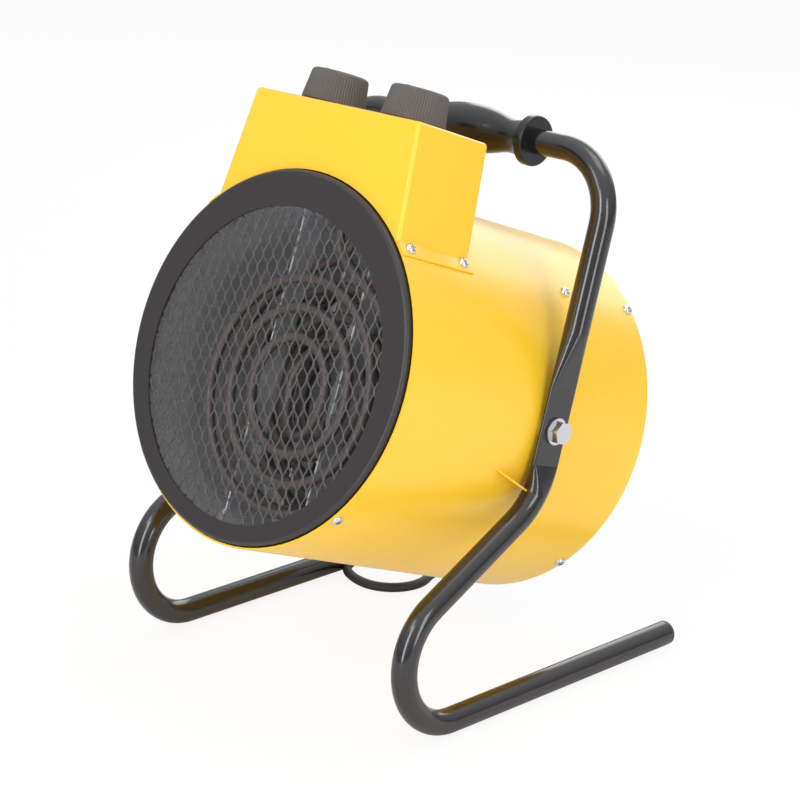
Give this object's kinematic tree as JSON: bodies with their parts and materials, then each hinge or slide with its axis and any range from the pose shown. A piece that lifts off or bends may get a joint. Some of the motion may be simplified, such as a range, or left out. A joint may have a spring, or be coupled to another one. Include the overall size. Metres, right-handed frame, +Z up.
{
  "type": "forced air heater",
  "caption": "Round fan heater in a tilting cylindrical casing on a bent tube stand with a carrying handle, control box on top, mesh front and mains cord.",
  "frame": {"origin": "on the floor under the middle of the heater's footprint", "axes": "+Z up, the heater blows towards -Y, +X to the right of someone facing the outlet's front"},
  "size_m": [0.3069, 0.4293, 0.3837],
  "materials": {
    "yellow_paint": "gloss",
    "dark_paint": "satin",
    "black_tube": "gloss",
    "black_plastic": "gloss",
    "knob_plastic": "matte",
    "bright_zinc": "bright zinc plate",
    "galvanised": "bright galvanised",
    "mesh_steel": "satin",
    "element_sheath": "oxidised",
    "steel": "plain",
    "aluminium": "rolled sheet",
    "copper": "enamelled wire",
    "bronze": "sintered",
    "ceramic": "glazed ceramic",
    "cord_rubber": "matte",
    "tie_plastic": "matte",
    "plug_metal": "nickel plate"
  },
  "bodies": {
    "stand": {"stand_tube": "black_tube", "handle_grip": "black_plastic", "foot_caps": "black_plastic", "cord_floor": "cord_rubber", "cord_coil": "cord_rubber", "cord_tie": "tie_plastic", "plug_body": "cord_rubber", "plug_pins": "plug_metal"},
    "heater": {"cord_hanging": "cord_rubber", "outer_shell": "yellow_paint", "control_box": "yellow_paint", "front_ring": "dark_paint", "front_grille": "mesh_steel", "inner_duct": "galvanised", "duct_brackets": "galvanised", "heating_element_front": "element_sheath", "heating_element_rear": "element_sheath", "element_spacers": "galvanised", "element_terminals": "ceramic", "motor_cross": "galvanised", "motor_frames": "aluminium", "motor_bearings": "bronze", "motor_laminations": "steel", "motor_coil": "copper", "motor_bolts": "bright_zinc", "rear_cover": "dark_paint", "cable_gland": "cord_rubber", "thermostat_body": "ceramic", "rotary_switch": "black_plastic", "thermostat_bulb": "copper", "thermal_cutout": "black_plastic", "terminal_block": "ceramic", "inner_lead": "cord_rubber", "inner_wires": "cord_rubber", "shell_screws": "bright_zinc", "cross_screws": "bright_zinc", "pivot_bolts": "bright_zinc", "pivot_washers": "bright_zinc", "pivot_nuts": "bright_zinc"},
    "thermostat": {"thermostat_knob": "knob_plastic", "thermostat_spindle": "steel"},
    "selector": {"switch_knob": "knob_plastic", "switch_spindle": "steel"},
    "fan": {"fan_impeller": "aluminium", "fan_nut": "bright_zinc", "motor_rotor": "steel"}
  },
  "joints": [
    {"name": "body_tilt", "type": "hinge", "parent": "stand", "child": "heater", "pos_m": [0, 0.01925, 0.175], "axis": [-1, 0, 0], "range_deg": [0, 14], "deforming": ["cord_hanging"]},
    {"name": "thermostat_turn", "type": "hinge", "parent": "heater", "child": "thermostat", "pos_m": [-0.0348, -0.01924, 0.3609], "axis": [0, 0.3469, 0.9379], "range_deg": [-270, 0]},
    {"name": "selector_turn", "type": "hinge", "parent": "heater", "child": "selector", "pos_m": [0.0348, -0.01924, 0.3609], "axis": [0, 0.3469, 0.9379], "range_deg": [-135, 0]},
    {"name": "fan_spin", "type": "hinge", "parent": "heater", "child": "fan", "pos_m": [0, 0.02819, 0.16455], "axis": [0, -0.9379, 0.3469], "continuous": true}
  ]
}
